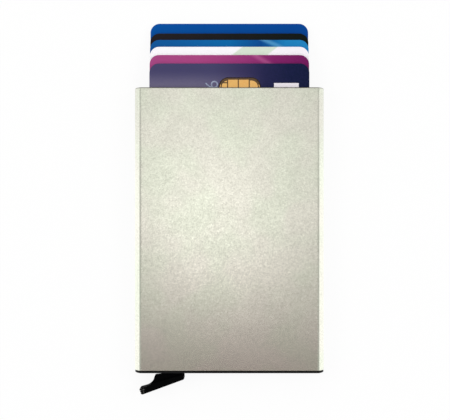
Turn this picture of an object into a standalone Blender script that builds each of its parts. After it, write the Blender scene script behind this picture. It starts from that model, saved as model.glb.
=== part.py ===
"""A pop-up card holder: a metal tube with a thumb lever at its foot that fans six cards out of its mouth.

Metres. The holder lies on its back: +X is to the right, +Y towards the mouth, +Z out of the front face.
The origin is the middle of the tube's back face. The cards stand fanned out, as the lever leaves them.
"""

import math

import bmesh
import bpy
from mathutils import Vector

# The cards, which everything else is built round
CARD_WIDTH = 0.05398
CARD_HEIGHT = 0.0856
CARD_THICKNESS = 0.00076
CARD_CORNER = 0.00318

# How far the fanned cards stand out of the mouth, front card to back card
FRONT_CARD_SHOWS = 0.00815
BACK_CARD_SHOWS = 0.0225
FAN_SHARES = (0.0, 0.21, 0.415, 0.59, 0.755, 1.0)

# The chip's contact plate, on the front card
CHIP_WIDTH = 0.0136
CHIP_HEIGHT = 0.0118
CHIP_CORNER = 0.0029
CHIP_THICKNESS = 0.0002
CHIP_POCKET_DEPTH = 0.0005
CHIP_MARGIN = 0.0003
CHIP_FROM_CARD_TOP = 0.005
CHIP_FROM_CARD_MIDDLE = 0.0035

# The grooves between its pads, as shares of half its width or height: across above and below the
# middle pad, down through the pads above and below it, and down each side of it
GROOVE_WIDTH = 0.0004
GROOVE_DEPTH = 0.0001
GROOVE_ROW_SHARES = (-0.37, 0.37)
GROOVE_COLUMN_SHARES = (-0.60, -0.07, 0.47)
MIDDLE_PAD_SHARES = (-0.53, 0.53)

# Running and seating clearances
GAP = 0.0003
CAP_SEAT_GAP = 0.0002
SLOT_END_PLAY = 0.0005

# The tube
WALL = 0.001
SIDE_BULGE = 0.002
MOUTH_RECESS = 0.0008
EDGE_SOFTENING = 0.0004

# The space under the shut cards, where the lever works
CARD_FLOOR = 0.009

# The side rails and the strips that grip the cards
RAIL_DEPTH = 0.00251
RAIL_HEAD = 0.002
RAIL_BELOW_MOUTH = 0.0005
LEAD_IN = 0.0006
STRIP_THICKNESS = 0.0007

# The bottom cap
LIP_THICKNESS = 0.0006
LIP_INSET = 0.0001
LIP_ROUNDING = 0.00015
FLOOR_THICKNESS = 0.0012
STOP_REACH = 0.0032
CHEEK_THICKNESS = 0.001
CHEEK_RADIUS = 0.004

# The lever, its pin and its swing
PIVOT_INSET = 0.0123
PIVOT_HEIGHT = 0.0032
PIN_RADIUS = 0.001
HUB_RADIUS = 0.0034
HUB_POCKET_PLAY = 0.0006
SWING = math.radians(24)
SHUT_TILT = math.radians(3.5)
BLADE_REACH = 0.0132
BLADE_TOP = 0.00537
BLADE_DROP = 0.00752
TIP_RISE = 0.0002
HEEL_REACH = 0.0026
HOLLOW_RADIUS = 0.00385
HOLLOW_REACH = 0.0107
BLADE_INSET = 0.0015
BLADE_ROUNDING = 0.0003
RIDGE_RADIUS = 0.00025
RIDGE_SHARES = (0.2, 0.5, 0.8)
ARM_ROOT = 0.0078
ARM_FLOOR_CLEARANCE = 0.0004
ARM_END_CLEARANCE = 0.0008
ARM_TIP_DEPTH = 0.0039
NOSE_RADIUS = 0.001
WEB_OVERLAP = 0.001
WEB_STEP = 0.0006

# How far a cutter or a joined solid runs past the face that it meets
OVERRUN = 0.0005

# How finely round shapes are divided
SIDE_STEPS = 12
CORNER_STEPS = 12
ROUND_STEPS = 32
RIDGE_STEPS = 12
SOFT_STEPS = 2
SMOOTH_ANGLE = math.radians(32)

# Across the tube: card, clearance, strip, clearance, rail, clearance, wall
RAIL_HEAD_X = CARD_WIDTH / 2 + GAP
STRIP_BACK_X = RAIL_HEAD_X + STRIP_THICKNESS
RAIL_FACE_X = STRIP_BACK_X + GAP
RAIL_CREST_X = RAIL_FACE_X + RAIL_DEPTH
TUBE_HALF_WIDTH = RAIL_CREST_X + GAP + WALL

# Through the tube: the stack of cards with its clearances, and the two walls
CARD_COUNT = len(FAN_SHARES)
CARD_PITCH = CARD_THICKNESS + GAP
TUBE_THICKNESS = 2 * WALL + CARD_COUNT * CARD_PITCH + GAP
MID_Z = TUBE_THICKNESS / 2
INNER_HALF = TUBE_THICKNESS / 2 - WALL - GAP
FRONT_Z = MID_Z + INNER_HALF
BACK_Z = MID_Z - INNER_HALF

# Along the tube
TUBE_LENGTH = CARD_FLOOR + CARD_HEIGHT + MOUTH_RECESS
FOOT_Y = -TUBE_LENGTH / 2
MOUTH_Y = TUBE_LENGTH / 2
CARD_FLOOR_Y = FOOT_Y + CARD_FLOOR
STOP_TOP_Y = CARD_FLOOR_Y - GAP

# The bowed sides are arcs that swell by SIDE_BULGE beyond the flat faces
SIDE_RADIUS = (SIDE_BULGE ** 2 + (TUBE_THICKNESS / 2) ** 2) / (2 * SIDE_BULGE)
SIDE_CENTRE_X = TUBE_HALF_WIDTH - SIDE_RADIUS

# The lever's place
PIVOT_X = -(TUBE_HALF_WIDTH - PIVOT_INSET)
PIVOT_Y = FOOT_Y + PIVOT_HEIGHT
STOP_X = CARD_WIDTH / 2 - STOP_REACH
ARM_REACH = STOP_X - ARM_END_CLEARANCE - PIVOT_X
ARM_TOP = STOP_TOP_Y - PIVOT_Y
FLOOR_TOP = FOOT_Y - CAP_SEAT_GAP + FLOOR_THICKNESS
NECK_HALF = INNER_HALF - CHEEK_THICKNESS - GAP

# The blade's outline from the lever's pivot, as shares of its reach to the tip or to the heel, and of
# its drop. The paddle is the wide flat part, and the neck joins it to the hub. The blade's upper edge
# rises a little to the tip, and to the neck in a hollow, which the wide part follows only as far as
# the cap lets it.
PADDLE_SHARES = ((-1.0, 0.985), (0.712, 1.0), (0.815, 0.968), (1.0, 0.761))
NECK_FOOT_SHARES = ((-0.628, 0.81), (0.846, 0.851))
SHOULDER_SHARES = ((-0.364, 0.46), (-0.4925, 0.394), (-0.527, 0.402), (-0.5535, 0.449))
WIDE_HOLLOW_ARC = (math.radians(-62), math.radians(-90))
NECK_HOLLOW_ARC = (math.radians(-38), math.radians(-66))
HUB_ARC = (math.radians(-10), math.radians(190))

# Card name, colour from 0 to 255, roughness, front card to back card
CARD_FINISHES = (
    ("navy_card", (46, 46, 88), 0.35),
    ("magenta_card", (152, 56, 118), 0.3),
    ("white_card", (248, 247, 250), 0.35),
    ("sky_blue_card", (12, 102, 168), 0.3),
    ("black_card", (36, 33, 34), 0.4),
    ("blue_card", (2, 78, 158), 0.35),
)


def clear_scene():
    for item in list(bpy.data.objects):
        bpy.data.objects.remove(item, do_unlink=True)


def linear(channel):
    """A colour channel from 0 to 255 as the shader's linear value."""
    share = channel / 255
    return share / 12.92 if share <= 0.04045 else ((share + 0.055) / 1.055) ** 2.4


def finish(name, colour, roughness, metallic=0.0):
    material = bpy.data.materials.new(name)
    material.use_nodes = True
    shader = material.node_tree.nodes["Principled BSDF"]
    shader.inputs["Base Color"].default_value = (*[linear(channel) for channel in colour], 1.0)
    shader.inputs["Roughness"].default_value = roughness
    shader.inputs["Metallic"].default_value = metallic
    return material


def to_object(shape, name):
    """Makes a bmesh an object whose faces all point outwards."""
    bmesh.ops.recalc_face_normals(shape, faces=shape.faces)
    mesh = bpy.data.meshes.new(name)
    shape.to_mesh(mesh)
    shape.free()
    solid = bpy.data.objects.new(name, mesh)
    bpy.context.collection.objects.link(solid)
    return solid


def pull(shape, faces, step):
    """Extrudes faces by a vector."""
    pulled = bmesh.ops.extrude_face_region(shape, geom=faces)
    moved = [item for item in pulled["geom"] if isinstance(item, bmesh.types.BMVert)]
    bmesh.ops.translate(shape, verts=moved, vec=step)


def prism(name, outline, start, end):
    """An outline in X and Y, pulled from one Z to another."""
    shape = bmesh.new()
    face = shape.faces.new([shape.verts.new((x, y, start)) for x, y in outline])
    pull(shape, [face], Vector((0.0, 0.0, end - start)))
    return to_object(shape, name)


def bar(name, outline, start, end):
    """An outline in X and Z, pulled from one Y to another."""
    shape = bmesh.new()
    face = shape.faces.new([shape.verts.new((x, start, z)) for x, z in outline])
    pull(shape, [face], Vector((0.0, end - start, 0.0)))
    return to_object(shape, name)


def rectangle(left, bottom, right, top):
    return [(left, bottom), (right, bottom), (right, top), (left, top)]


def arc(centre, radius, start, end, steps):
    """Points along an arc, from one angle to another."""
    turns = [start + (end - start) * step / steps for step in range(steps + 1)]
    return [(centre[0] + radius * math.cos(turn), centre[1] + radius * math.sin(turn)) for turn in turns]


def circle(centre, radius, steps):
    return arc(centre, radius, 0.0, math.tau, steps)[:-1]


def rounded_rectangle(width, height, corner, centre=(0.0, 0.0)):
    points = []
    for quarter, (side_x, side_y) in enumerate(((1, 1), (-1, 1), (-1, -1), (1, -1))):
        middle = (
            centre[0] + side_x * (width / 2 - corner),
            centre[1] + side_y * (height / 2 - corner),
        )
        start = quarter * math.pi / 2
        points += arc(middle, corner, start, start + math.pi / 2, CORNER_STEPS)
    return points


def case_outline(inset):
    """The tube's section in X and Z, drawn in from its outer surface by an even amount."""
    radius = SIDE_RADIUS - inset
    spread = math.asin((TUBE_THICKNESS / 2 - inset) / radius)
    right = arc((SIDE_CENTRE_X, MID_Z), radius, -spread, spread, SIDE_STEPS)
    left = arc((-SIDE_CENTRE_X, MID_Z), radius, math.pi - spread, math.pi + spread, SIDE_STEPS)
    return right + left


def turned(points, angle):
    """Points turned about the origin."""
    cosine = math.cos(angle)
    sine = math.sin(angle)
    return [(x * cosine - y * sine, x * sine + y * cosine) for x, y in points]


def combine(target, tool, operation):
    """Joins a solid to the target or cuts it away, and uses it up."""
    boolean = target.modifiers.new(operation.lower(), "BOOLEAN")
    boolean.operation = operation
    boolean.solver = "EXACT"
    boolean.object = tool
    graph = bpy.context.evaluated_depsgraph_get()
    target.data = bpy.data.meshes.new_from_object(target.evaluated_get(graph))
    target.modifiers.clear()
    bpy.data.objects.remove(tool, do_unlink=True)


def soften(solid, width):
    """Rounds a solid's sharp edges and keeps the rounding in its mesh."""
    bevel = solid.modifiers.new("softened_edges", "BEVEL")
    bevel.width = width
    bevel.segments = SOFT_STEPS
    bevel.limit_method = "ANGLE"
    bevel.angle_limit = SMOOTH_ANGLE
    graph = bpy.context.evaluated_depsgraph_get()
    solid.data = bpy.data.meshes.new_from_object(solid.evaluated_get(graph))
    solid.modifiers.clear()


def dress(solid, material):
    solid.data.materials.clear()
    solid.data.materials.append(material)
    solid.data.shade_smooth()
    solid.data.set_sharp_from_angle(angle=SMOOTH_ANGLE)


def card_bottom_z(index):
    """The underside of a card in the stack, counted from the front."""
    return FRONT_Z - CARD_THICKNESS - index * CARD_PITCH


def card_travel(index):
    """How far a card rises from the shut pose to the fanned one."""
    shows = FRONT_CARD_SHOWS + (BACK_CARD_SHOWS - FRONT_CARD_SHOWS) * FAN_SHARES[index]
    return MOUTH_RECESS + shows


def build_tube(material):
    """The extruded tube: its ring-shaped section, pulled to length."""
    shape = bmesh.new()
    rims = []
    for inset in (0.0, WALL):
        corners = [shape.verts.new((x, FOOT_Y, z)) for x, z in case_outline(inset)]
        rims += [shape.edges.new(ends) for ends in zip(corners, corners[1:] + corners[:1])]
    ring = bmesh.ops.bridge_loops(shape, edges=rims)["faces"]
    pull(shape, ring, Vector((0.0, TUBE_LENGTH, 0.0)))
    tube = to_object(shape, "case_tube")
    soften(tube, EDGE_SOFTENING)
    dress(tube, material)


def build_cap(material):
    """The end cap: lip, floor, two card stops, and two cheeks with the pin's bore."""
    lip_top = FOOT_Y - CAP_SEAT_GAP
    cap = bar("bottom_cap", case_outline(LIP_INSET), lip_top - LIP_THICKNESS, lip_top)
    soften(cap, LIP_ROUNDING)

    plug = case_outline(WALL + GAP)
    floor = bar("floor", plug, lip_top - LIP_THICKNESS / 2, FLOOR_TOP)
    combine(cap, floor, "UNION")

    inside_x = RAIL_CREST_X - GAP
    for side in (-1, 1):
        ends = sorted((side * STOP_X, side * inside_x))
        core = [(x, z) for x, z in plug if ends[0] <= x <= ends[1]]
        flat = [(side * STOP_X, BACK_Z), (side * STOP_X, FRONT_Z)]
        section = core + (flat if side < 0 else flat[::-1])
        stop = bar("card_stop", section, FLOOR_TOP - OVERRUN, STOP_TOP_Y)
        combine(cap, stop, "UNION")

    for start, end in ((BACK_Z, BACK_Z + CHEEK_THICKNESS), (FRONT_Z - CHEEK_THICKNESS, FRONT_Z)):
        crown = arc((PIVOT_X, PIVOT_Y), CHEEK_RADIUS, 0.0, math.pi / 2, CORNER_STEPS)
        wall_x = -STOP_X - OVERRUN
        cheek_outline = [
            (wall_x, FLOOR_TOP - OVERRUN),
            (PIVOT_X + CHEEK_RADIUS, FLOOR_TOP - OVERRUN),
            *crown,
            (wall_x, PIVOT_Y + CHEEK_RADIUS),
        ]
        combine(cap, prism("cheek", cheek_outline, start, end), "UNION")

    slot_half = NECK_HALF + GAP
    slot_ends = lever_slot_ends()
    slot = rectangle(slot_ends[0], FOOT_Y - HUB_RADIUS, slot_ends[1], slot_ends[2])
    combine(cap, prism("lever_slot", slot, MID_Z - slot_half, MID_Z + slot_half), "DIFFERENCE")
    pocket = circle((PIVOT_X, PIVOT_Y), HUB_RADIUS + HUB_POCKET_PLAY, ROUND_STEPS)
    combine(cap, prism("hub_pocket", pocket, MID_Z - slot_half, MID_Z + slot_half), "DIFFERENCE")
    bore = circle((PIVOT_X, PIVOT_Y), PIN_RADIUS + GAP, ROUND_STEPS)
    combine(cap, prism("pin_bore", bore, BACK_Z - OVERRUN, FRONT_Z + OVERRUN), "DIFFERENCE")
    dress(cap, material)


def blade_points(shares):
    """Points of the blade from their shares, from the pivot, before the lever's tilt."""
    points = []
    for across, down in shares:
        reach = BLADE_REACH if across < 0 else HEEL_REACH
        points.append((across * reach, -down * BLADE_DROP))
    return points


def hollow(angles):
    """Part of the hollow between the blade's upper edge and the neck."""
    return arc((-HOLLOW_REACH, HOLLOW_RADIUS - BLADE_TOP), HOLLOW_RADIUS, *angles, CORNER_STEPS // 2)


def neck_flank():
    """The neck's outline from under the hub to its foot, in the lever's shut pose."""
    return turned(blade_points(SHOULDER_SHARES) + hollow(NECK_HOLLOW_ARC), -SHUT_TILT)


def lever_slot_ends():
    """The cap's slot, left, right and top: what the neck sweeps, with its play."""
    shut = neck_flank() + turned(blade_points(NECK_FOOT_SHARES), -SHUT_TILT)
    sweep = shut + turned(shut, SWING)
    in_cap = [x for x, y in sweep if y > -PIVOT_HEIGHT - CAP_SEAT_GAP - LIP_THICKNESS - GAP]
    left = min(in_cap) - SLOT_END_PLAY
    right = max(HUB_RADIUS, *in_cap) + HUB_POCKET_PLAY + SLOT_END_PLAY
    return PIVOT_X + left, PIVOT_X + right, PIVOT_Y - HUB_RADIUS / 4


def arm_underside(reach):
    """The height of the arm's lower edge in the shut pose, from the pivot."""
    root = FLOOR_TOP + ARM_FLOOR_CLEARANCE - PIVOT_Y
    tip = ARM_TOP - ARM_TIP_DEPTH
    return root + (tip - root) * (reach - ARM_ROOT) / (ARM_REACH - ARM_ROOT)


def nose(reach):
    """The rounded upper corner at an arm step's end."""
    middle = (reach - NOSE_RADIUS, ARM_TOP - NOSE_RADIUS)
    return arc(middle, NOSE_RADIUS, 0.0, math.pi / 2, CORNER_STEPS)


def build_stepped_arm():
    """The arm at full thickness, cut back in front of each card so that every card has its own step."""
    outline = [
        (ARM_ROOT, arm_underside(ARM_ROOT)), (ARM_REACH, arm_underside(ARM_REACH)),
        *nose(ARM_REACH), (ARM_ROOT, ARM_TOP),
    ]
    arm = prism("stepped_arm", outline, BACK_Z - MID_Z, FRONT_Z - MID_Z)
    for index in range(CARD_COUNT - 1):
        reach = ARM_REACH * card_travel(index) / card_travel(CARD_COUNT - 1)
        beyond = [
            (reach, -ARM_TOP), *nose(reach), (reach - NOSE_RADIUS, ARM_TOP + OVERRUN),
            (ARM_REACH + OVERRUN, ARM_TOP + OVERRUN), (ARM_REACH + OVERRUN, -ARM_TOP),
        ]
        step_top = card_bottom_z(index + 1) + CARD_THICKNESS - MID_Z
        combine(arm, prism("beyond_step", beyond, step_top, FRONT_Z - MID_Z + OVERRUN), "DIFFERENCE")
    return arm


def build_lever(material):
    """The lever in its shut pose about its pivot, then swung open by its object's turn."""
    blade_half = MID_Z - BLADE_INSET
    tip_top = (-BLADE_REACH, TIP_RISE - BLADE_TOP)
    paddle = turned([*blade_points(PADDLE_SHARES), *hollow(WIDE_HOLLOW_ARC), tip_top], -SHUT_TILT)
    lever = prism("thumb_lever", paddle, -blade_half, blade_half)
    soften(lever, BLADE_ROUNDING)

    tip_low, tip_high = Vector(paddle[0]), Vector(paddle[-1])
    for share in RIDGE_SHARES:
        middle = tip_low.lerp(tip_high, share)
        ridge_half = blade_half - BLADE_ROUNDING - RIDGE_RADIUS
        ridge = prism("grip_ridge", circle(middle, RIDGE_RADIUS, RIDGE_STEPS), -ridge_half, ridge_half)
        combine(lever, ridge, "UNION")

    hub = arc((0.0, 0.0), HUB_RADIUS, *HUB_ARC, ROUND_STEPS // 2)
    neck = turned(blade_points(NECK_FOOT_SHARES) + hub, -SHUT_TILT) + neck_flank()
    combine(lever, prism("neck", neck, -NECK_HALF, NECK_HALF), "UNION")

    combine(lever, build_stepped_arm(), "UNION")
    web = [
        (0.0, -HUB_RADIUS / 2), (ARM_ROOT + WEB_OVERLAP, arm_underside(ARM_ROOT) + WEB_STEP),
        (ARM_ROOT + WEB_OVERLAP, ARM_TOP - WEB_STEP), (0.0, HUB_RADIUS - WEB_STEP),
    ]
    combine(lever, prism("web", web, -NECK_HALF, NECK_HALF), "UNION")

    bore = circle((0.0, 0.0), PIN_RADIUS + GAP, ROUND_STEPS)
    combine(lever, prism("hub_bore", bore, -INNER_HALF, INNER_HALF), "DIFFERENCE")
    lever.location = (PIVOT_X, PIVOT_Y, MID_Z)
    lever.rotation_euler.z = SWING
    dress(lever, material)


def build_pin(material):
    pin = prism("pivot_pin", circle((0.0, 0.0), PIN_RADIUS, ROUND_STEPS), -INNER_HALF, INNER_HALF)
    pin.location = (PIVOT_X, PIVOT_Y, MID_Z)
    dress(pin, material)


def build_rail(name, side, material):
    """A rail that fills the bowed side, with a channel for its strip between two heads."""
    bowed = [(x, z) for x, z in case_outline(WALL + GAP) if x > 0]
    section = [(side * x, z) for x, z in [*bowed, (RAIL_HEAD_X, FRONT_Z), (RAIL_HEAD_X, BACK_Z)]]
    bottom = CARD_FLOOR_Y
    top = MOUTH_Y - RAIL_BELOW_MOUTH
    rail = bar(name, section, bottom, top)

    low_x, high_x = sorted((side * (RAIL_HEAD_X - OVERRUN), side * RAIL_FACE_X))
    channel = rectangle(low_x, bottom + RAIL_HEAD, high_x, top - RAIL_HEAD)
    combine(rail, prism("strip_channel", channel, BACK_Z - OVERRUN, FRONT_Z + OVERRUN), "DIFFERENCE")

    slope = [
        (side * (RAIL_HEAD_X - OVERRUN), top - 2 * LEAD_IN - OVERRUN),
        (side * (RAIL_HEAD_X + LEAD_IN), top + OVERRUN),
        (side * (RAIL_HEAD_X - OVERRUN), top + OVERRUN),
    ]
    combine(rail, prism("lead_in", slope, BACK_Z - OVERRUN, FRONT_Z + OVERRUN), "DIFFERENCE")
    dress(rail, material)


def build_strip(name, side, material):
    """A grip strip, face on to the cards' edges."""
    left, right = sorted((side * RAIL_HEAD_X, side * STRIP_BACK_X))
    bottom = CARD_FLOOR_Y + RAIL_HEAD + GAP
    top = MOUTH_Y - RAIL_BELOW_MOUTH - RAIL_HEAD - GAP
    strip = prism(name, rectangle(left, bottom, right, top), BACK_Z, FRONT_Z)
    dress(strip, material)


def chip_centre_y():
    """The chip's middle, from the middle of its card."""
    return CARD_HEIGHT / 2 - CHIP_FROM_CARD_TOP - CHIP_HEIGHT / 2


def build_card(index, name, material):
    card = prism(name, rounded_rectangle(CARD_WIDTH, CARD_HEIGHT, CARD_CORNER), 0.0, CARD_THICKNESS)
    if index == 0:
        opening = rounded_rectangle(
            CHIP_WIDTH + 2 * CHIP_MARGIN, CHIP_HEIGHT + 2 * CHIP_MARGIN, CHIP_CORNER + CHIP_MARGIN,
            (CHIP_FROM_CARD_MIDDLE, chip_centre_y()),
        )
        pocket_floor = CARD_THICKNESS - CHIP_POCKET_DEPTH
        pocket = prism("chip_pocket", opening, pocket_floor, CARD_THICKNESS + OVERRUN)
        combine(card, pocket, "DIFFERENCE")
    card_middle_y = CARD_FLOOR_Y + card_travel(index) + CARD_HEIGHT / 2
    card.location = (0.0, card_middle_y, card_bottom_z(index))
    dress(card, material)
    return card


def chip_grooves():
    """The grooves between the contact plate's pads, as rectangles from its middle."""
    half_groove = GROOVE_WIDTH / 2
    side = CHIP_WIDTH / 2 + OVERRUN
    end = CHIP_HEIGHT / 2 + OVERRUN
    low_row, high_row = (share * CHIP_HEIGHT / 2 for share in GROOVE_ROW_SHARES)
    grooves = [rectangle(-side, row - half_groove, side, row + half_groove) for row in (low_row, high_row)]
    for share in GROOVE_COLUMN_SHARES:
        column = share * CHIP_WIDTH / 2
        grooves.append(rectangle(column - half_groove, high_row, column + half_groove, end))
        grooves.append(rectangle(column - half_groove, -end, column + half_groove, low_row))
    for share in MIDDLE_PAD_SHARES:
        column = share * CHIP_WIDTH / 2
        grooves.append(rectangle(column - half_groove, low_row, column + half_groove, high_row))
    return grooves


def build_chip(card, material):
    """The contact plate, level with the front card's face, in its pocket."""
    outline = rounded_rectangle(CHIP_WIDTH, CHIP_HEIGHT, CHIP_CORNER)
    chip = prism("chip_contacts", outline, 0.0, CHIP_THICKNESS)
    for groove in chip_grooves():
        cutter = prism("pad_groove", groove, CHIP_THICKNESS - GROOVE_DEPTH, CHIP_THICKNESS + OVERRUN)
        combine(chip, cutter, "DIFFERENCE")
    chip.parent = card
    chip.location = (CHIP_FROM_CARD_MIDDLE, chip_centre_y(), CARD_THICKNESS - CHIP_THICKNESS)
    dress(chip, material)


def build_holder():
    clear_scene()
    anodised = finish("champagne_aluminium", (208, 208, 192), 0.45, 0.6)
    black_moulding = finish("black_moulding", (18, 17, 17), 0.45)
    steel = finish("pin_steel", (176, 178, 182), 0.25, 1.0)
    felt = finish("grip_felt", (44, 44, 46), 0.95)
    gilt = finish("gilt_contacts", (236, 180, 104), 0.3, 0.8)

    build_tube(anodised)
    build_cap(black_moulding)
    build_lever(black_moulding)
    build_pin(steel)
    for label, side in (("left", -1), ("right", 1)):
        build_rail(f"{label}_card_rail", side, black_moulding)
        build_strip(f"{label}_grip_strip", side, felt)
    cards = []
    for index, (name, colour, roughness) in enumerate(CARD_FINISHES):
        cards.append(build_card(index, name, finish(name, colour, roughness)))
    build_chip(cards[0], gilt)


build_holder()
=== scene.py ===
"""The looks of the pop-up card holder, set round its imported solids, and the studio that it lies in.

Metres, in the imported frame: the holder lies on its back, with its mouth towards +Y. The camera
looks straight down on the front face.
"""

import math

import bmesh
import bpy
from mathutils import Matrix, Vector, noise


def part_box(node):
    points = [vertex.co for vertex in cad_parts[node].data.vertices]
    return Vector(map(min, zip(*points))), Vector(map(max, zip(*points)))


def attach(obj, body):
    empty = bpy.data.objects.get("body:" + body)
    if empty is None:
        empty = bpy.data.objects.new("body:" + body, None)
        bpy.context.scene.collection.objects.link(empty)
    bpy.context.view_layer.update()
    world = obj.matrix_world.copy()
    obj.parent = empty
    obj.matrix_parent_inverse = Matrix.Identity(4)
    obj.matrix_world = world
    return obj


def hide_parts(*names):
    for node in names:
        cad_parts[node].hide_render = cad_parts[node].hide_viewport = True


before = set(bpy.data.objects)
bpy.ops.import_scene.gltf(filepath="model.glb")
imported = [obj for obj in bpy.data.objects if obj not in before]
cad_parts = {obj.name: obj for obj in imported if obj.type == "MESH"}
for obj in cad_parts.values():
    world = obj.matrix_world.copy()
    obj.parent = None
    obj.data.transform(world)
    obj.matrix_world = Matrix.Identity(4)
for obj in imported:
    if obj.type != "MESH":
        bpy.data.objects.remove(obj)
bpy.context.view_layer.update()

# The photograph: its size and the case's middle in pixels, and the pixels to a metre at its face
PHOTO_WIDTH = 450
PHOTO_HEIGHT = 420
CASE_MIDDLE_PX = (229.4, 229.07)
FACE_SCALE = 2975.0

# The camera: its height over the case's face, its sensor's width, and the nearest that it sees
CAMERA_RISE = 0.35
SENSOR_MM = 36.0
CAMERA_CLIP = 0.01

# The tube's section as it was extruded, and the rounding of its two ends
WALL = 0.001
SIDE_BULGE = 0.002
CREST_FILLET = 0.0013
MOUTH_ROUNDING = 0.0004
FOOT_ROUNDING = 0.00015
SIDE_STEPS = 40
ROUNDING_STEPS = 6

# A face belongs to the tube's cut ends when its normal leans this far along the tube
CUT_END_LEAN = 0.3

# The cards, and which of their materials is which
CARD_CORNER = 0.00318
CARD_EDGE_BREAK = 0.00007
CARD_CORNER_STEPS = 16
FRONT, BACK, EDGE, POCKET = range(4)

# A card's face is its front when its normal's Z is over the first value, its back when it is under
# the second, and else its edge
FRONT_LEAN = 0.2
BACK_LEAN = -0.5

# The cards' print: the width that it runs across, the softness of its edges, the laminate's
# roughness, and the reverse's magnetic stripe from the middle line
PRINT_WIDTH = 0.054
PRINT_SOFTNESS = 0.00003
SATIN = 0.32
STRIPE = (-0.0225, -0.0098)

# The chip's contact plate: pads that stand on a dark carrier, with grooves between them
PAD_HEIGHT = 0.00006
CHIP_CORNER = 0.0029
CHIP_GAP = 0.0003
GROOVE_WIDTH = 0.00038
GROOVE_COLUMNS = (-0.0041, -0.0005, 0.0032)
GROOVE_ROWS = (-0.0022, 0.0022)
LEFT_PAD_ROWS = (-0.0044, 0.0044)
CENTRE_PAD_HALF = 0.0036
RIM_PAD_END = 0.0037

# How deep the plate's margin, rim pads and ring groove reach from its sides, and from its two ends
CHIP_RINGS = ((0.00006, 0.00049), (0.00031, 0.00062), (0.0007, 0.00076))
MARGIN, RIM, RING = 1, 2, 3

# A face is part of the plate's top when its normal points up by more than this
FACING_UP = 0.9

# The account number: plain figures, set along the card. Their thinning is in the font's own units
NUMBER = "1234 5678 9012 3456"
NUMBER_HEIGHT = 0.0044
NUMBER_BASE_X = -0.0038
NUMBER_FROM_TOP = 0.0055
NUMBER_THICKNESS = 0.00004
NUMBER_THINNING = -0.012
NUMBER_CURVE_STEPS = 3

# The bare white panel at the front card's right
PANEL_LEFT = 0.01505
PANEL_RIGHT = 0.0234
PANEL_FROM_TOP = 0.0066
PANEL_HEIGHT = 0.014

# The felt strips: edges longer than a cell are cut, first those along Z and then those along Y, so
# many times; then how deep the cards have matted the felt, and its coarse and fine features to a mm
FELT_CELL = 0.0004
FELT_CUTS = ((2, 12), (1, 160))
FELT_LOFT = 0.00006
FELT_NOISE = (1.7, 5.0)

# One feature to a millimetre is so many to a metre
PER_MM = 1000.0

# The grey that the thumb has rubbed into the lever: how far it reaches from the tip, and its fading
THUMB_REACH = 0.0024
THUMB_FADE = 0.001

# Softened edges: the most that a moulded piece's get, and the steps on all but the tube. A piece's
# tightest spot limits all its edges, so only the rails get this much. The cap gets 0.038 mm and the
# lever 0.001 mm
MOULDED_ROUNDING = 0.00012
EASING_STEPS = 2

# Corners nearer than this are one. Faces that meet flatter than the first angle are one face, and
# the others pick out the edges that are eased, that show as edges, and that run round a rim
MERGE = 0.000005
FLAT_ANGLE = math.radians(1)
SHARP_ANGLE = math.radians(25)
SMOOTH_ANGLE = math.radians(50)
RIM_ANGLE = math.radians(60)

WHITE = (1.0, 1.0, 1.0, 1.0)

# The light tent's walls, brightest beside the holder: places from the foot's side, 0, to the
# mouth's, 1, and strengths
TENT_WALLS = (
    (0.0, 0.75), (0.36, 0.75), (0.42, 1.3), (0.51, 1.3), (0.57, 0.9), (0.85, 0.32), (1.0, 0.27),
)

# The colours of its ceiling, of the ceiling past the foot, of the dark patch there and of the
# window, and the even light that matt surfaces get
TENT_CEILING = (0.615, 0.615, 0.602, 1.0)
TENT_CEILING_FOOT = (0.39, 0.39, 0.381, 1.0)
TENT_FOOT = (0.0735, 0.0, 0.0043, 1.0)
TENT_WINDOW = (1.0, 1.0, 0.97, 1.0)
EVEN_LIGHT = (0.8, 0.8, 0.8, 1.0)

# Where these lie, as parts of a direction's length of 1: start and end of a change, or a patch's
# start, end and softness. The window's ends run aslant
WALL_TOP = (0.3, 0.45)
OVERHEAD = (0.7, 0.85)
CEILING_CHANGE = (-0.15, -0.01)
FOOT_ALONG = (-0.5, -0.057, 0.075)
FOOT_ACROSS = (-0.13, 0.154, 0.12)
WINDOW_ALONG = (-0.057, 0.197, 0.021)
WINDOW_ACROSS = (-0.11, 0.083, 0.15)
WINDOW_SLANT = 0.6

# The window's bright core is a lamp far off: the way to it and its width and height, for each metre
# of its distance, and its radiance
CORE_DISTANCE = 20.0
CORE_WAY = (-0.02, -0.026, 1.0)
CORE_SPAN = (0.129, 0.106)
CORE_RADIANCE = 1.864
CORE_TINT = (1.0, 0.991, 0.988)

# The softboxes, one at each side
SOFTBOX_PLACE = (0.75, 0.15, 0.8)
SOFTBOX_SIZE = (0.5, 0.5)
SOFTBOX_POWER = 2.0

# The floor: half its side, how far under the case it lies, its paint, and the share of its look
# that is an even glow
FLOOR_REACH = 3.0
FLOOR_DROP = 0.00008
FLOOR_PAINT = (0.95, 0.95, 0.95, 1.0)
FLOOR_GLOW = 0.9

# The white floor as gloss mirrors it, and past the holder's mouth, with the way between them
FLOOR_MIRRORED = (1.16, 1.16, 1.16, 1.0)
FLOOR_AT_MOUTH = (0.94, 0.94, 0.94, 1.0)
MOUTH_SIDE = (0.012, 0.045)


def linear(colour):
    """A colour from 0 to 255 as the shader's linear values, with full alpha."""
    shares = [channel / 255 for channel in colour]
    return (*[c / 12.92 if c <= 0.04045 else ((c + 0.055) / 1.055) ** 2.4 for c in shares], 1.0)


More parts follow.
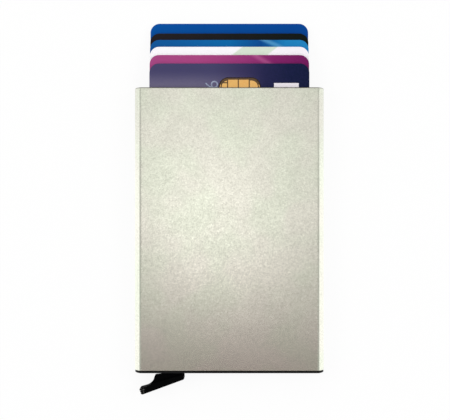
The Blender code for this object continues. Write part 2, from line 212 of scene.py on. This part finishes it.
class Wire:
    """A shader socket that takes part in Python sums. Each sum adds its Math node."""

    def __init__(self, finish, socket):
        self.finish = finish
        self.socket = socket

    def __add__(self, other):
        return self.finish.math("ADD", self, other)

    def __radd__(self, other):
        return self.finish.math("ADD", other, self)

    def __sub__(self, other):
        return self.finish.math("SUBTRACT", self, other)

    def __rsub__(self, other):
        return self.finish.math("SUBTRACT", other, self)

    def __mul__(self, other):
        return self.finish.math("MULTIPLY", self, other)

    def __rmul__(self, other):
        return self.finish.math("MULTIPLY", other, self)

    def __truediv__(self, other):
        return self.finish.math("DIVIDE", self, other)

    def __rtruediv__(self, other):
        return self.finish.math("DIVIDE", other, self)


class Finish:
    """A node tree that is being built: a material's, or the world's."""

    def __init__(self, owner):
        owner.use_nodes = True
        self.owner = owner
        self.tree = owner.node_tree
        self.shader = self.tree.nodes.get("Principled BSDF")

    def node(self, kind, settings=None, sockets=None, output=0):
        """Adds a node, sets it up, feeds its sockets and hands back one of its outputs."""
        made = self.tree.nodes.new(kind)
        for name, value in (settings or {}).items():
            setattr(made, name, value)
        for key, value in (sockets or {}).items():
            self.feed(made.inputs[key], value)
        return Wire(self, made.outputs[output])

    def feed(self, socket, value):
        if isinstance(value, Wire):
            self.tree.links.new(value.socket, socket)
        else:
            socket.default_value = value

    def math(self, operation, *values):
        return self.node("ShaderNodeMath", {"operation": operation}, dict(enumerate(values)))

    def axes(self, vector):
        """A vector's X, Y and Z as three wires."""
        split = self.node("ShaderNodeSeparateXYZ", sockets={0: vector}).socket.node
        return [Wire(self, split.outputs[axis]) for axis in range(3)]

    def place(self):
        """The place on the piece as three wires, in metres."""
        return self.axes(self.node("ShaderNodeTexCoord", output="Object"))

    def rays(self, *kinds):
        """One wire for each kind of ray, 1 for the rays of that kind."""
        paths = self.node("ShaderNodeLightPath").socket.node
        return [Wire(self, paths.outputs[f"Is {kind} Ray"]) for kind in kinds]

    def grain(self, size, detail=2.0, roughness=0.5, stretch=(1.0, 1.0, 1.0)):
        """Noise whose features are about this size in metres, from 0 to 1."""
        place = self.node("ShaderNodeTexCoord", output="Object")
        scale = [share / size for share in stretch]
        scaled = self.node("ShaderNodeVectorMath", {"operation": "MULTIPLY"}, {0: place, 1: scale})
        sockets = {"Vector": scaled, "Scale": 1.0, "Detail": detail, "Roughness": roughness}
        return self.node("ShaderNodeTexNoise", sockets=sockets)

    def ease(self, value, start, end):
        """0 before start, 1 after end, and a smooth rise between them."""
        return self.node(
            "ShaderNodeMapRange",
            {"interpolation_type": "SMOOTHSTEP"},
            {"Value": value, "From Min": start, "From Max": end},
        )

    def within(self, value, start, end, soft):
        """1 between start and end, with soft edges."""
        rise = self.ease(value, start - soft, start + soft)
        return rise * (1 - self.ease(value, end - soft, end + soft))

    def mix(self, share, first, second):
        """A colour between two. The node's colours are its sockets 6 and 7 and its output 2."""
        sockets = {0: share, 6: first, 7: second}
        return self.node("ShaderNodeMix", {"data_type": "RGBA"}, sockets, output=2)

    def ramp(self, value, stops):
        """A colour read from stops of place and colour."""
        made = self.node("ShaderNodeValToRGB", sockets={0: value})
        points = made.socket.node.color_ramp.elements
        while len(points) < len(stops):
            points.new(0.5)
        for point, (place, colour) in zip(points, stops):
            point.position = place
            point.color = colour
        return made

    def bump(self, height, distance, strength=1.0):
        """A normal for relief of this height, which is from 0 to 1 and the distance deep."""
        sockets = {"Strength": strength, "Distance": distance, "Height": height}
        return self.node("ShaderNodeBump", sockets=sockets)

    def wear(self, **values):
        """Feeds the shader's own sockets: base_color becomes Base Color."""
        for name, value in values.items():
            title = name.replace("_", " ").title().replace("Ior", "IOR")
            self.feed(self.shader.inputs[title], value)
        return self.owner


def new_finish(name):
    return Finish(bpy.data.materials.new(name))


# Materials of the case


def champagne_anodising():
    """Fine blasted aluminium under a pale champagne anodising: a metal with a tight grain."""
    finish = new_finish("champagne_anodising")
    blast = finish.grain(0.0004, 2.0, 0.6)
    mottle = finish.grain(0.0009, 2.0)
    cloud = finish.grain(0.008, 2.0)
    fine = finish.grain(0.00012, 1.0)
    tint = finish.ease(finish.grain(0.012, 1.0), 0.35, 0.65)
    light = (blast - 0.5) * 1.4 + (mottle - 0.5) * 0.8 + (cloud - 0.5) * 0.4 + 0.5
    dark = finish.mix(tint, linear((218, 222, 206)), linear((222, 221, 209)))
    pale = finish.mix(tint, linear((251, 255, 238)), linear((255, 254, 241)))
    colour = finish.mix(light, dark, pale)
    gloss = (0.5 - light) * 0.035 + 0.24
    normal = finish.bump(blast * 0.6 + fine * 0.4, 0.000012, 0.2)
    return finish.wear(base_color=colour, metallic=1.0, roughness=gloss, normal=normal)


def sawn_rim_painted_shade():
    """The tube's cut ends, a little rougher than the faces and finely lined by the saw. Their darker
    colour is partly painted shade along the rims.
    """
    finish = new_finish("sawn_rim_painted_shade")
    lines = finish.grain(0.00008, 2.0, 0.5, (1.0, 1.0, 0.12))
    # Both colours are darker than the faces' as painted shade along the rims; the saw lines mix them
    colour = finish.mix(lines, linear((134, 132, 122)), linear((168, 166, 154)))
    normal = finish.bump(lines, 0.00001, 0.5)
    return finish.wear(base_color=colour, metallic=1.0, roughness=0.38, normal=normal)


def black_moulding(name, tone, polish, gleam=0.12):
    """Spark-eroded black plastic, handed back as a finish that can take more."""
    finish = new_finish(name)
    erosion = finish.grain(0.00016, 3.0, 0.6)
    flow = finish.grain(0.004, 2.0)
    shade = erosion * 0.5 + flow * 0.5
    colour = finish.mix(shade, linear((tone - 4,) * 3), linear((tone + 5, tone + 5, tone + 6)))
    gloss = erosion * 0.16 + (polish - 0.08)
    normal = finish.bump(erosion, 0.00002, 0.7)
    finish.wear(base_color=colour, roughness=gloss, specular_ior_level=gleam, normal=normal)
    return finish


def cap_plastic():
    return black_moulding("cap_plastic", 20, 0.5).owner


def rail_plastic():
    return black_moulding("rail_plastic", 14, 0.5).owner


def lever_plastic():
    """The lever's plastic, rubbed a little grey at the tip, where the thumb catches it."""
    finish = black_moulding("lever_plastic", 6, 0.7, 0.01)
    across, _, _ = finish.place()
    low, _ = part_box("thumb_lever")
    worn = finish.ease(low.x + THUMB_REACH - across, 0.0, THUMB_FADE) * 0.7
    scuffs = finish.ease(finish.grain(0.0004, 2.0, 0.7), 0.5, 0.68)
    black = finish.shader.inputs["Base Color"]
    fresh = Wire(finish, black.links[0].from_socket)
    finish.feed(black, finish.mix(worn * scuffs, fresh, linear((104, 104, 102))))
    return finish.owner


def pin_steel():
    finish = new_finish("pin_steel")
    grinding = finish.grain(0.0002, 3.0, 0.6, (1.0, 1.0, 0.1))
    colour = finish.mix(grinding, linear((150, 152, 156)), linear((196, 198, 201)))
    return finish.wear(base_color=colour, metallic=1.0, roughness=grinding * 0.14 + 0.2)


def pressed_felt():
    """Dark grey felt: matted fibres, a soft sheen and no gloss."""
    finish = new_finish("pressed_felt")
    fibres = finish.grain(0.00009, 4.0, 0.75, (1.0, 0.35, 1.0))
    tufts = finish.grain(0.0008, 3.0)
    colour = finish.mix(fibres * 0.7 + tufts * 0.3, linear((22, 22, 24)), linear((70, 70, 73)))
    normal = finish.bump(fibres, 0.00006, 0.9)
    return finish.wear(base_color=colour, roughness=0.95, sheen_weight=0.3, normal=normal)


# Materials of the cards


def card_place(finish, node):
    """Distance from the card's middle line to the right, and from its top edge down."""
    across, along, _ = finish.place()
    _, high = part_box(node)
    return across, high.y - along


def laminate(finish, colour, gloss=SATIN):
    """A satin laminate over the print, with the slight unevenness of its pressing."""
    orange_peel = finish.grain(0.0012, 2.0)
    fine = finish.grain(0.00025, 1.0)
    normal = finish.bump(orange_peel * 0.7 + fine * 0.3, 0.00001, 0.3)
    gloss = (fine - 0.5) * 0.08 + gloss
    return finish.wear(base_color=colour, roughness=gloss, specular_ior_level=0.04, normal=normal)


def across_share(across):
    """From 0 at a card's left edge to 1 at its right."""
    return across / PRINT_WIDTH + 0.5


def navy_print():
    """Purple grey, navy at the right and lighter down the left, with a bare white panel."""
    finish = new_finish("navy_print")
    across, down = card_place(finish, "navy_card")
    side = across_share(across)
    colour = finish.ramp(side, [
        (0.0, linear((71, 68, 103))), (0.4, linear((68, 66, 101))),
        (0.58, linear((55, 51, 88))), (0.72, linear((35, 37, 72))),
        (0.88, linear((20, 28, 60))), (1.0, linear((17, 26, 56))),
    ])
    glow = finish.ease(down, 0.002, 0.009) * (1 - finish.ease(side, 0.25, 0.75))
    colour = finish.mix(glow, colour, linear((112, 106, 132)))
    speckle = finish.ease(finish.grain(0.0005, 2.0, 0.7), 0.35, 0.75)
    colour = finish.mix(speckle * 0.12, colour, linear((62, 54, 120)))
    panel_foot = PANEL_FROM_TOP + PANEL_HEIGHT
    panel = finish.within(across, PANEL_LEFT, PANEL_RIGHT, PRINT_SOFTNESS)
    panel = panel * finish.within(down, PANEL_FROM_TOP, panel_foot, PRINT_SOFTNESS)
    colour = finish.mix(panel, colour, linear((238, 232, 238)))
    return laminate(finish, colour)


def magenta_print():
    """Magenta that deepens to the right, with one soft light band that leans across it."""
    finish = new_finish("magenta_print")
    across, down = card_place(finish, "magenta_card")
    side = across_share(across)
    colour = finish.ramp(side, [
        (0.0, linear((165, 72, 130))), (0.3, linear((169, 70, 129))),
        (0.6, linear((150, 54, 117))), (0.78, linear((130, 36, 102))),
        (1.0, linear((112, 25, 90))),
    ])
    lean = across - down * 1.6 - 0.0085
    band = finish.within(lean, -0.0012, 0.0012, 0.0016) * 0.45
    colour = finish.mix(band, colour, linear((196, 104, 158)))
    return laminate(finish, colour)


def white_print():
    """White, with a pale green band that leans across the right half, and pinkish beyond it."""
    finish = new_finish("white_print")
    across, down = card_place(finish, "white_card")
    side = across_share(across)
    right = finish.ease(side, 0.5, 1.0)
    colour = finish.mix(right, linear((250, 248, 252)), linear((246, 240, 247)))
    lean = across + down * 0.9 + finish.math("SINE", down * 400.0) * 0.0012
    band = finish.within(lean, 0.0045, 0.0165, 0.0005)
    colour = finish.mix(band, colour, linear((215, 227, 210)))
    return laminate(finish, colour)


def sky_blue_print():
    """Blue, darker past its middle and bright at the right, under one soft leaning band."""
    finish = new_finish("sky_blue_print")
    across, down = card_place(finish, "sky_blue_card")
    side = across_share(across)
    colour = finish.ramp(side, [
        (0.0, linear((16, 84, 150))), (0.25, linear((14, 93, 160))),
        (0.5, linear((12, 103, 167))), (0.7, linear((8, 74, 144))),
        (0.86, linear((30, 126, 187))), (1.0, linear((34, 130, 190))),
    ])
    lean = across - down * 2.2
    band = finish.within(lean, 0.0105, 0.0135, 0.0014)
    colour = finish.mix(band * 0.55, colour, linear((96, 170, 214)))
    return laminate(finish, colour)


def plain_print(name, node, left, right, gloss=SATIN):
    """One colour, a little darker to the right."""
    finish = new_finish(name)
    across, _ = card_place(finish, node)
    cloud = (finish.grain(0.004, 2.0) - 0.5) * 0.4
    colour = finish.mix(across_share(across) + cloud, linear(left), linear(right))
    return laminate(finish, colour, gloss)


def card_back(name, node, tone):
    """A card's reverse: its ground colour and the dark magnetic stripe down the long edge."""
    finish = new_finish(name)
    across, _ = card_place(finish, node)
    stripe = finish.within(across, *STRIPE, PRINT_SOFTNESS)
    ferrite = finish.mix(finish.grain(0.0001, 2.0), linear((22, 19, 19)), linear((40, 36, 35)))
    return laminate(finish, finish.mix(stripe, linear(tone), ferrite), 0.36)


def card_core(name, tone):
    """The core that shows at a card's edges, with the laminates' thin lines along it."""
    finish = new_finish(name)
    plies = finish.grain(0.0002, 2.0, 0.5, (0.1, 0.1, 1.0))
    colour = finish.mix(plies, linear([c * 0.9 for c in tone]), linear(tone))
    return finish.wear(base_color=colour, roughness=0.5)


def contact_gold():
    finish = new_finish("contact_gold")
    brushing = finish.grain(0.00025, 3.0, 0.6, (1.0, 0.2, 1.0))
    cloud = finish.grain(0.002, 2.0)
    shade = brushing * 0.5 + cloud * 0.5
    colour = finish.mix(shade, linear((255, 181, 96)), linear((255, 216, 136)))
    gloss = brushing * 0.12 + 0.26
    normal = finish.bump(brushing, 0.000006, 0.4)
    return finish.wear(base_color=colour, metallic=0.7, roughness=gloss, normal=normal)


def contact_carrier():
    """The brown black carrier in the grooves between the pads."""
    finish = new_finish("contact_carrier")
    weave = finish.grain(0.00015, 2.0)
    colour = finish.mix(weave, linear((70, 48, 26)), linear((104, 78, 44)))
    return finish.wear(base_color=colour, roughness=0.55)


def number_foil():
    """The tipped figures: a cool grey foil."""
    finish = new_finish("number_foil")
    rub = finish.ease(finish.grain(0.0003, 3.0, 0.7), 0.3, 0.75)
    colour = finish.mix(rub, linear((128, 138, 168)), linear((178, 186, 208)))
    return finish.wear(base_color=colour, metallic=0.3, roughness=0.35)


# Making pieces


def to_object(shape, name, materials):
    """Makes a bmesh an object in the scene, and uses it up."""
    mesh = bpy.data.meshes.new(name)
    shape.to_mesh(mesh)
    shape.free()
    for material in materials:
        mesh.materials.append(material)
    made = bpy.data.objects.new(name, mesh)
    bpy.context.collection.objects.link(made)
    return made


def show(shape, name, materials, body, stands_for=()):
    """Makes a bmesh a finished piece on a body, in place of the nodes that it stands for."""
    piece = to_object(shape, name, materials)
    piece.data.shade_smooth()
    piece.data.set_sharp_from_angle(angle=SMOOTH_ANGLE)
    evening = piece.modifiers.new("even_shading", "WEIGHTED_NORMAL")
    evening.keep_sharp = True
    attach(piece, body)
    if stands_for:
        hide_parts(*stands_for)


def pull(shape, faces, step):
    """Extrudes faces by a vector. The faces themselves stay where they are."""
    pulled = bmesh.ops.extrude_face_region(shape, geom=faces)
    moved = [item for item in pulled["geom"] if isinstance(item, bmesh.types.BMVert)]
    bmesh.ops.translate(shape, verts=moved, vec=step)


def round_edges(shape, edges, offset, segments):
    bmesh.ops.bevel(
        shape, geom=edges, offset=offset, offset_type="OFFSET", segments=segments,
        profile=0.5, affect="EDGES", clamp_overlap=True, material=-1,
    )


def sharp_edges(shape, angle=SHARP_ANGLE):
    return [edge for edge in shape.edges if edge.is_manifold and edge.calc_face_angle(0.0) > angle]


def arc(centre, radius, start, end, steps):
    turns = [start + (end - start) * step / steps for step in range(steps + 1)]
    return [
        (centre[0] + radius * math.cos(turn), centre[1] + radius * math.sin(turn))
        for turn in turns
    ]


def case_outline(inset):
    """The tube's section in X and Z, its crests rounded, drawn in by an even amount: one loop."""
    _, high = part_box("case_tube")
    half = high.z / 2
    bow = (SIDE_BULGE ** 2 + half ** 2) / (2 * SIDE_BULGE)
    middle = high.x - bow
    rise = half - CREST_FILLET
    run = math.sqrt((bow - CREST_FILLET) ** 2 - rise ** 2)
    turn = math.atan2(rise, run)
    crest = middle + run
    fillet = CREST_FILLET - inset
    under = arc((crest, half - rise), fillet, -math.pi / 2, -turn, ROUNDING_STEPS)
    side = arc((middle, half), bow - inset, -turn, turn, SIDE_STEPS)
    over = arc((crest, half + rise), fillet, turn, math.pi / 2, ROUNDING_STEPS)
    right = under[:-1] + side + over[1:]
    return right + [(-x, high.z - z) for x, z in right]


def make_tube():
    """The extrusion: its ring-shaped section pulled to length, and its rims rounded."""
    low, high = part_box("case_tube")
    shape = bmesh.new()
    rims = []
    for inset in (0.0, WALL):
        corners = [shape.verts.new((x, low.y, z)) for x, z in case_outline(inset)]
        rims += [shape.edges.new(ends) for ends in zip(corners, corners[1:] + corners[:1])]
    ring = bmesh.ops.bridge_loops(shape, edges=rims)["faces"]
    pull(shape, ring, Vector((0.0, high.y - low.y, 0.0)))
    bmesh.ops.recalc_face_normals(shape, faces=shape.faces)
    rims = sharp_edges(shape, RIM_ANGLE)
    mouth = [edge for edge in rims if edge.verts[0].co.y > 0.0]
    foot = [edge for edge in rims if edge.verts[0].co.y < 0.0]
    round_edges(shape, mouth, MOUTH_ROUNDING, ROUNDING_STEPS)
    round_edges(shape, foot, FOOT_ROUNDING, ROUNDING_STEPS)
    shape.normal_update()
    # Faces that lean along the tube are its cut ends, whose finish is partly painted shade along the
    # rims
    for face in shape.faces:
        face.material_index = 1 if abs(face.normal.y) > CUT_END_LEAN else 0
    materials = [champagne_anodising(), sawn_rim_painted_shade()]
    show(shape, "tube_shell", materials, "holder", ["case_tube"])


def refined(node):
    """A copy of a node's mesh as whole flat faces, ready for its edges to be eased."""
    shape = bmesh.new()
    shape.from_mesh(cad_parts[node].data)
    bmesh.ops.remove_doubles(shape, verts=shape.verts, dist=MERGE)
    bmesh.ops.dissolve_limit(
        shape, angle_limit=FLAT_ANGLE, verts=shape.verts, edges=shape.edges,
        use_dissolve_boundaries=False,
    )
    return shape


def make_moulding(node, name, material, body):
    """A moulded piece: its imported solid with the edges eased."""
    shape = refined(node)
    round_edges(shape, sharp_edges(shape), MOULDED_ROUNDING, EASING_STEPS)
    show(shape, name, [material], body, [node])


def rounded_outline(left, bottom, right, top, corner):
    """A rectangle with round corners, as one loop of points."""
    points = []
    for quarter, (x, y) in enumerate((
        (right - corner, top - corner), (left + corner, top - corner),
        (left + corner, bottom + corner), (right - corner, bottom + corner),
    )):
        start = quarter * math.pi / 2
        points += arc((x, y), corner, start, start + math.pi / 2, CARD_CORNER_STEPS)
    return points


def slab(outline, low_z, high_z):
    """A plate between two heights."""
    shape = bmesh.new()
    face = shape.faces.new([shape.verts.new((x, y, low_z)) for x, y in outline])
    pull(shape, [face], Vector((0.0, 0.0, high_z - low_z)))
    bmesh.ops.recalc_face_normals(shape, faces=shape.faces)
    return shape


def make_card(node, body, front, back, core):
    """A card with its corners and edges eased."""
    low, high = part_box(node)
    outline = rounded_outline(low.x, low.y, high.x, high.y, CARD_CORNER)
    finish_card(slab(outline, low.z, high.z), node, body, [front, back, core])


def make_chip_card(node, body, front, back, core):
    """The card with the chip's pocket, whose floor and walls are dark with the chip's glue."""
    low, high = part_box("chip_contacts")
    reach = Vector((CHIP_GAP + MERGE, CHIP_GAP + MERGE, 0.0))
    low, high = low - reach, high + reach
    shape = refined(node)
    card_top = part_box(node)[1].z
    for face in shape.faces:
        middle = face.calc_center_median()
        inside = low.x < middle.x < high.x and low.y < middle.y < high.y
        if inside and face.normal.z > BACK_LEAN and middle.z < card_top - MERGE:
            face.material_index = POCKET
    finish_card(shape, node, body, [front, back, core, contact_carrier()])


def finish_card(shape, node, body, materials):
    """Eases a card's edges and lays on its front, back and core. A pocket keeps its material."""
    round_edges(shape, sharp_edges(shape, RIM_ANGLE), CARD_EDGE_BREAK, EASING_STEPS)
    shape.normal_update()
    for face in shape.faces:
        if face.material_index < POCKET:
            up = face.normal.z
            face.material_index = FRONT if up > FRONT_LEAN else BACK if up < BACK_LEAN else EDGE
    show(shape, f"{node}_body", materials, body, [node])


def groove_at(x, y, ring):
    """Whether a place on one of the contact plate's rings, seen from its middle, has no pad."""
    half = GROOVE_WIDTH / 2
    if ring == MARGIN or any(abs(y - row) < half for row in GROOVE_ROWS):
        return True
    if abs(y) < GROOVE_ROWS[1]:
        return abs(abs(x) - CENTRE_PAD_HALF) < half
    if any(abs(x - column) < half for column in GROOVE_COLUMNS):
        return True
    left = x < GROOVE_COLUMNS[0]
    outer = left or x > GROOVE_COLUMNS[-1]
    if outer and (ring == RING or ring == RIM and abs(y) > RIM_PAD_END):
        return True
    return left and any(abs(y - row) < half for row in LEFT_PAD_ROWS)


def mark_rings(shape, inner, middle, half):
    """Insets the plate's top once for each ring, and marks the ring's faces with its number."""
    past_side, past_end = 0.0, 0.0
    about_middle = Matrix.Translation(-middle)
    for ring, (side, end) in enumerate(CHIP_RINGS, MARGIN):
        step = side - past_side
        made = bmesh.ops.inset_region(shape, faces=inner, thickness=step, use_even_offset=True)
        for face in made["faces"]:
            face.material_index = ring
        corners = list({corner for face in inner for corner in face.verts})
        squeeze = (half.y - end) / (half.y - past_end - step)
        bmesh.ops.scale(shape, verts=corners, vec=(1.0, squeeze, 1.0), space=about_middle)
        past_side, past_end = side, end


def make_chip():
    """The contact plate: a thin carrier cut along its grooves, and the pads between them raised."""
    low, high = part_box("chip_contacts")
    middle = (low + high) / 2
    half = (high - low) / 2
    outline = rounded_outline(low.x, low.y, high.x, high.y, CHIP_CORNER)
    shape = slab(outline, low.z, high.z - PAD_HEIGHT)
    top = [face for face in shape.faces if face.normal.z > FACING_UP]
    mark_rings(shape, top, middle, half)
    cuts = [(Vector((1, 0, 0)), x) for x in (*GROOVE_COLUMNS, -CENTRE_PAD_HALF, CENTRE_PAD_HALF)]
    cuts += [(Vector((0, 1, 0)), y) for y in (*GROOVE_ROWS, *LEFT_PAD_ROWS)]
    for axis, offset in cuts:
        for side in (-1, 1):
            point = Vector((middle.x, middle.y, 0.0)) + axis * (offset + side * GROOVE_WIDTH / 2)
            geometry = [*shape.verts, *shape.edges, *shape.faces]
            bmesh.ops.bisect_plane(shape, geom=geometry, plane_co=point, plane_no=axis, dist=MERGE)
    pads = []
    for face in shape.faces:
        x, y, _ = face.calc_center_median() - middle
        if face.normal.z > FACING_UP and not groove_at(x, y, face.material_index):
            pads.append(face)
    pull(shape, pads, Vector((0.0, 0.0, PAD_HEIGHT)))
    bmesh.ops.delete(shape, geom=pads, context="FACES")
    bmesh.ops.recalc_face_normals(shape, faces=shape.faces)
    for face in shape.faces:
        # A pad's walls have their middles half its height under its top
        gilt = face.calc_center_median().z > high.z - 0.75 * PAD_HEIGHT
        face.material_index = 0 if gilt else 1
    materials = [contact_gold(), contact_carrier()]
    show(shape, "chip_plate", materials, "front_card", ["chip_contacts"])


def make_number():
    """Plain figures along the front card, reading up towards its top edge."""
    _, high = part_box("navy_card")
    text = bpy.data.curves.new("number_text", "FONT")
    text.body = NUMBER
    text.align_x = "RIGHT"
    text.resolution_u = NUMBER_CURVE_STEPS
    text.offset = NUMBER_THINNING
    source = bpy.data.objects.new("number_source", text)
    bpy.context.collection.objects.link(source)
    bpy.context.view_layer.update()
    graph = bpy.context.evaluated_depsgraph_get()
    flat = bpy.data.meshes.new_from_object(source.evaluated_get(graph))
    bpy.data.objects.remove(source, do_unlink=True)
    shape = bmesh.new()
    shape.from_mesh(flat)
    bmesh.ops.remove_doubles(shape, verts=shape.verts, dist=MERGE)
    heights = [vert.co.y for vert in shape.verts]
    size = NUMBER_HEIGHT / (max(heights) - min(heights))
    bmesh.ops.scale(shape, verts=shape.verts, vec=(size, size, size))
    bmesh.ops.rotate(shape, verts=shape.verts, matrix=Matrix.Rotation(math.pi / 2, 3, "Z"))
    end = Vector((NUMBER_BASE_X, high.y - NUMBER_FROM_TOP, high.z))
    bmesh.ops.translate(shape, verts=shape.verts, vec=end)
    pull(shape, list(shape.faces), Vector((0.0, 0.0, NUMBER_THICKNESS)))
    bmesh.ops.recalc_face_normals(shape, faces=shape.faces)
    show(shape, "account_number", [number_foil()], "front_card")


def make_felt(node, name, material):
    """A grip strip: a felt bar, its edges rounded and its face matted by the cards."""
    low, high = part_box(node)
    middle = (low + high) / 2
    shape = bmesh.new()
    bmesh.ops.create_cube(shape, size=1.0)
    bmesh.ops.scale(shape, verts=shape.verts, vec=high - low)
    bmesh.ops.translate(shape, verts=shape.verts, vec=middle)
    for axis, cuts in FELT_CUTS:
        long_edges = [
            edge for edge in shape.edges
            if abs(edge.verts[0].co[axis] - edge.verts[1].co[axis]) > FELT_CELL
        ]
        bmesh.ops.subdivide_edges(shape, edges=long_edges, cuts=cuts, use_grid_fill=True)
    round_edges(shape, sharp_edges(shape, RIM_ANGLE), FELT_LOFT * 2, EASING_STEPS)
    for vert in shape.verts:
        tufts, fibres = (noise.noise(vert.co * PER_MM * density) for density in FELT_NOISE)
        inward = Vector((middle.x - vert.co.x, 0.0, 0.0)).normalized()
        vert.co += inward * FELT_LOFT * abs(tufts + 0.5 * fibres)
    show(shape, name, [material], "holder", [node])


# The studio


def make_floor():
    """A plain white floor, seen as white but still shaded where the holder keeps light off it."""
    finish = new_finish("studio_floor")
    finish.tree.nodes.remove(finish.shader)
    camera, glossy, transmission = finish.rays("Camera", "Glossy", "Transmission")
    seen = finish.math("MAXIMUM", finish.math("MAXIMUM", camera, glossy), transmission)
    paint = finish.node("ShaderNodeBsdfDiffuse", sockets={"Color": FLOOR_PAINT})
    _, along, _ = finish.place()
    mirrored = finish.mix(finish.ease(along, *MOUTH_SIDE), FLOOR_MIRRORED, FLOOR_AT_MOUTH)
    white = finish.mix(glossy, WHITE, mirrored)
    glow = finish.node("ShaderNodeEmission", sockets={"Color": white, "Strength": 1.0})
    lit = finish.node("ShaderNodeMixShader", sockets={0: seen * FLOOR_GLOW, 1: paint, 2: glow})
    clear = finish.node("ShaderNodeBsdfTransparent")
    behind = finish.node("ShaderNodeNewGeometry", output="Backfacing")
    shown = finish.node("ShaderNodeMixShader", sockets={0: behind, 1: lit, 2: clear})
    finish.feed(finish.tree.nodes["Material Output"].inputs["Surface"], shown)
    shape = bmesh.new()
    bmesh.ops.create_grid(shape, x_segments=1, y_segments=1, size=FLOOR_REACH)
    bmesh.ops.translate(shape, verts=shape.verts, vec=(0.0, 0.0, -FLOOR_DROP))
    floor = to_object(shape, "studio_floor", [finish.owner])


def make_world():
    """A white room for the camera and soft, even light. For gloss it is a light tent: a soft window
    overhead that ends over the holder's foot, in a grey ceiling, with white walls low down. The
    window's bright core is a lamp of its own."""
    world = bpy.data.worlds.new("studio")
    bpy.context.scene.world = world
    finish = Finish(world)
    across, along, up = finish.axes(finish.node("ShaderNodeTexCoord", output="Generated"))
    stops = [(place, (dim, dim, dim, 1.0)) for place, dim in TENT_WALLS]
    walls = finish.ramp(along * 0.5 + 0.5, stops)
    ceiling = finish.mix(finish.ease(along, *CEILING_CHANGE), TENT_CEILING_FOOT, TENT_CEILING)
    room = finish.mix(finish.ease(up, *WALL_TOP), walls, ceiling)
    overhead = finish.ease(up, *OVERHEAD)
    foot = finish.within(along, *FOOT_ALONG) * finish.within(across, *FOOT_ACROSS)
    room = finish.mix(foot * overhead, room, TENT_FOOT)
    window = finish.within(across, *WINDOW_ACROSS)
    window = window * finish.within(along + across * WINDOW_SLANT, *WINDOW_ALONG)
    room = finish.mix(window * overhead, room, TENT_WINDOW)
    camera, diffuse = finish.rays("Camera", "Diffuse")
    lit = finish.mix(diffuse, room, EVEN_LIGHT)
    seen = finish.mix(camera, lit, WHITE)
    finish.feed(finish.tree.nodes["Background"].inputs["Color"], seen)


def make_lamp(name, place, size, power, tint=(1.0, 1.0, 1.0), mirrored=False):
    """An oval lamp turned to the holder. It lights matt surfaces, or shows only in glossy ones."""
    data = bpy.data.lights.new(name, "AREA")
    data.shape = "ELLIPSE"
    data.size, data.size_y = size
    data.energy = power
    data.color = tint
    lamp = bpy.data.objects.new(name, data)
    lamp.location = place
    lamp.rotation_mode = "QUATERNION"
    lamp.rotation_quaternion = (-Vector(place)).to_track_quat("-Z", "Y")
    lamp.visible_camera = False
    lamp.visible_glossy = mirrored
    lamp.visible_diffuse = not mirrored
    bpy.context.collection.objects.link(lamp)


def make_studio():
    make_floor()
    make_world()
    out, along, up = SOFTBOX_PLACE
    for side in (-1, 1):
        make_lamp("softbox", (side * out, along, up), SOFTBOX_SIZE, SOFTBOX_POWER)
    place = [CORE_DISTANCE * share for share in CORE_WAY]
    width, height = (CORE_DISTANCE * share for share in CORE_SPAN)
    oval = math.pi / 4 * width * height
    power = CORE_RADIANCE * math.pi * oval
    make_lamp("window_core", place, (width, height), power, CORE_TINT, mirrored=True)


def make_camera():
    """The photograph's view: straight down, with the case where the photograph has it."""
    _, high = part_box("case_tube")
    data = bpy.data.cameras.new("camera")
    data.sensor_fit = "HORIZONTAL"
    data.sensor_width = SENSOR_MM
    data.lens = FACE_SCALE * CAMERA_RISE * SENSOR_MM / PHOTO_WIDTH
    data.clip_start = CAMERA_CLIP
    camera = bpy.data.objects.new("camera", data)
    camera.location = (
        (PHOTO_WIDTH / 2 - CASE_MIDDLE_PX[0]) / FACE_SCALE,
        (CASE_MIDDLE_PX[1] - PHOTO_HEIGHT / 2) / FACE_SCALE,
        high.z + CAMERA_RISE,
    )
    bpy.context.collection.objects.link(camera)
    bpy.context.scene.camera = camera


def make_holder():
    """The tube and all that is fixed in it, and the lever. The pin only takes a new finish."""
    make_tube()
    make_moulding("bottom_cap", "cap_body", cap_plastic(), "holder")
    make_moulding("thumb_lever", "lever_body", lever_plastic(), "lever")
    rails = rail_plastic()
    felt = pressed_felt()
    for side in ("left", "right"):
        make_moulding(f"{side}_card_rail", f"{side}_rail_body", rails, "holder")
        make_felt(f"{side}_grip_strip", f"{side}_felt", felt)
    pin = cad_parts["pivot_pin"]
    pin.data.materials.clear()
    pin.data.materials.append(pin_steel())


def make_cards():
    white_core = card_core("white_core", (226, 226, 224))
    black_core = card_core("black_core", (40, 38, 38))
    black_print = plain_print("black_print", "black_card", (36, 31, 35), (16, 24, 20), 0.4)
    blue_print = plain_print("blue_print", "blue_card", (3, 79, 158), (3, 67, 145))
    for make, colour, body, front, reverse, core in (
        (make_chip_card, "navy", "front_card", navy_print(), (60, 58, 92), white_core),
        (make_card, "magenta", "second_card", magenta_print(), (140, 50, 108), white_core),
        (make_card, "white", "third_card", white_print(), (244, 243, 246), white_core),
        (make_card, "sky_blue", "fourth_card", sky_blue_print(), (16, 92, 156), white_core),
        (make_card, "black", "fifth_card", black_print, (34, 32, 33), black_core),
        (make_card, "blue", "back_card", blue_print, (4, 74, 150), white_core),
    ):
        node = f"{colour}_card"
        make(node, body, front, card_back(f"{colour}_back", node, reverse), core)
    make_chip()
    make_number()


make_camera()
make_holder()
make_cards()
make_studio()
bpy.context.scene.view_settings.view_transform = "Standard"
